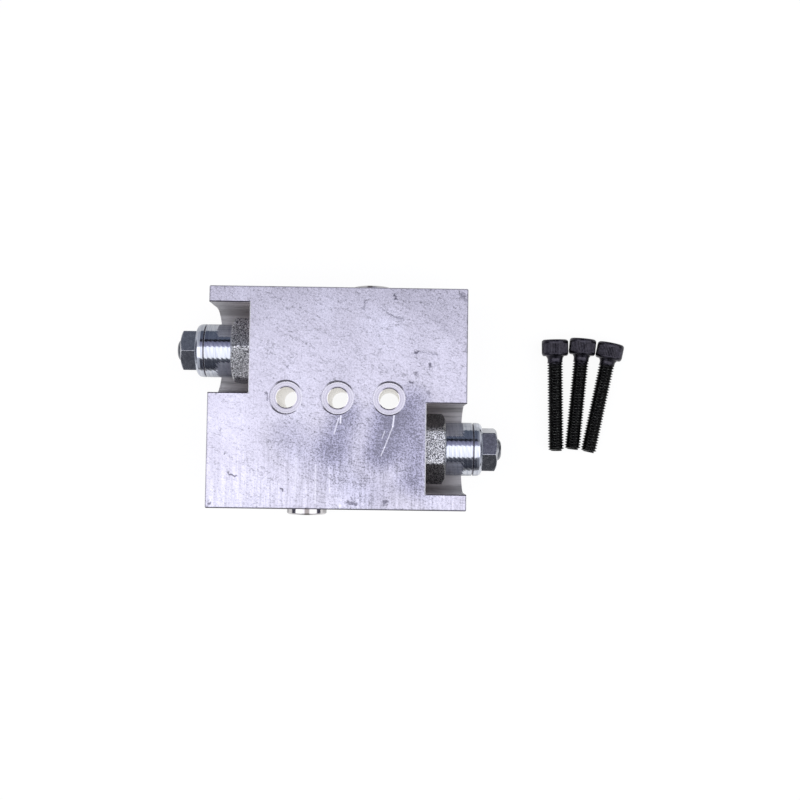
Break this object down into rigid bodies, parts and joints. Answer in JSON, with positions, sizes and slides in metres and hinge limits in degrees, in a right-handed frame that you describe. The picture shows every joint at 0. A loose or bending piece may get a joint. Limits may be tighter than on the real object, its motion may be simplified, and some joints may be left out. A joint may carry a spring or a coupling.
{
  "type": "counterbalance valve",
  "caption": "Double counterbalance valve: screw-in cartridges with spring bonnets and locknuts in a milled manifold block with mounting holes.",
  "frame": {"origin": "middle of the mounting face, on the middle mounting hole's axis", "axes": "+X along the cartridges towards cartridge b, +Y across them towards cartridge a, +Z out of the face with the spotfaces"},
  "size_m": [0.1616, 0.0816, 0.0318],
  "materials": {
    "milled_aluminium": "milled and bare",
    "blasted_steel": "blasted, thin zinc",
    "zinc_plated_steel": "turned, bright zinc",
    "dark_zinc_steel": "smooth, dark zinc",
    "adjuster_steel": "turned, zinc",
    "plug_steel": "bright zinc",
    "black_oxide_steel": "black oxide, oiled",
    "hardened_steel": "ground",
    "sleeve_steel": "turned",
    "spring_steel": "drawn wire",
    "nitrile_rubber": "matt",
    "ptfe": "matt"
  },
  "bodies": {
    "block": {"valve_block": "milled_aluminium", "front_plug": "plug_steel", "back_plug": "plug_steel", "front_plug_seal": "nitrile_rubber", "back_plug_seal": "nitrile_rubber", "face_orings": "nitrile_rubber", "mounting_screws": "black_oxide_steel", "cartridge_body_a": "blasted_steel", "bonnet_a": "zinc_plated_steel", "nose_sleeve_a": "sleeve_steel", "seat_insert_a": "hardened_steel", "seat_retaining_ring_a": "spring_steel", "main_spring_a": "spring_steel", "check_spring_a": "spring_steel", "shoulder_oring_a": "nitrile_rubber", "upper_land_oring_a": "nitrile_rubber", "upper_land_backup_rings_a": "ptfe", "lower_land_oring_a": "nitrile_rubber", "lower_land_backup_rings_a": "ptfe", "cartridge_body_b": "blasted_steel", "bonnet_b": "zinc_plated_steel", "nose_sleeve_b": "sleeve_steel", "seat_insert_b": "hardened_steel", "seat_retaining_ring_b": "spring_steel", "main_spring_b": "spring_steel", "check_spring_b": "spring_steel", "shoulder_oring_b": "nitrile_rubber", "upper_land_oring_b": "nitrile_rubber", "upper_land_backup_rings_b": "ptfe", "lower_land_oring_b": "nitrile_rubber", "lower_land_backup_rings_b": "ptfe"},
    "locknut_a": {"locknut_a": "dark_zinc_steel"},
    "spring_seat_a": {"spring_seat_a": "hardened_steel"},
    "adjusting_screw_a": {"adjusting_screw_a": "adjuster_steel", "adjusting_screw_oring_a": "nitrile_rubber"},
    "piston_a": {"piston_a": "hardened_steel", "piston_seal_a": "nitrile_rubber", "pilot_seal_a": "nitrile_rubber", "spring_button_a": "hardened_steel"},
    "check_disc_a": {"check_disc_a": "hardened_steel"},
    "locknut_b": {"locknut_b": "dark_zinc_steel"},
    "spring_seat_b": {"spring_seat_b": "hardened_steel"},
    "adjusting_screw_b": {"adjusting_screw_b": "adjuster_steel", "adjusting_screw_oring_b": "nitrile_rubber"},
    "piston_b": {"piston_b": "hardened_steel", "piston_seal_b": "nitrile_rubber", "pilot_seal_b": "nitrile_rubber", "spring_button_b": "hardened_steel"},
    "check_disc_b": {"check_disc_b": "hardened_steel"}
  },
  "joints": [
    {"name": "locknut_turn_a", "type": "hinge", "parent": "block", "child": "locknut_a", "pos_m": [-0.0534, 0.01695, 0.01588], "axis": [-1, 0, 0], "range_deg": [0, 90]},
    {"name": "spring_seat_slide_a", "type": "slide", "parent": "block", "child": "spring_seat_a", "axis": [-1, 0, 0], "range_m": [-0.003, 0.0015], "deforming": ["main_spring_a"]},
    {"name": "adjusting_screw_turn_a", "type": "hinge", "parent": "spring_seat_a", "child": "adjusting_screw_a", "pos_m": [-0.05, 0.01695, 0.01588], "axis": [-1, 0, 0], "range_deg": [-1080, 540]},
    {"name": "piston_slide_a", "type": "slide", "parent": "block", "child": "piston_a", "axis": [-1, 0, 0], "range_m": [0, 0.0015], "stiffness_N_per_m": 60000, "deforming": ["main_spring_a"]},
    {"name": "check_disc_slide_a", "type": "slide", "parent": "block", "child": "check_disc_a", "axis": [-1, 0, 0], "range_m": [0, 0.0014], "stiffness_N_per_m": 600, "deforming": ["check_spring_a"]},
    {"name": "locknut_turn_b", "type": "hinge", "parent": "block", "child": "locknut_b", "pos_m": [0.0534, -0.01695, 0.01588], "axis": [1, 0, 0], "range_deg": [0, 90]},
    {"name": "spring_seat_slide_b", "type": "slide", "parent": "block", "child": "spring_seat_b", "axis": [1, 0, 0], "range_m": [-0.003, 0.0015], "deforming": ["main_spring_b"]},
    {"name": "adjusting_screw_turn_b", "type": "hinge", "parent": "spring_seat_b", "child": "adjusting_screw_b", "pos_m": [0.05, -0.01695, 0.01588], "axis": [1, 0, 0], "range_deg": [-1080, 540]},
    {"name": "piston_slide_b", "type": "slide", "parent": "block", "child": "piston_b", "axis": [1, 0, 0], "range_m": [0, 0.0015], "stiffness_N_per_m": 60000, "deforming": ["main_spring_b"]},
    {"name": "check_disc_slide_b", "type": "slide", "parent": "block", "child": "check_disc_b", "axis": [1, 0, 0], "range_m": [0, 0.0014], "stiffness_N_per_m": 600, "deforming": ["check_spring_b"]}
  ],
  "couplings": [
    {"joint": "adjusting_screw_turn_a", "follows": "spring_seat_slide_a", "rad_per_m": 6283},
    {"joint": "adjusting_screw_turn_b", "follows": "spring_seat_slide_b", "rad_per_m": 6283}
  ]
}
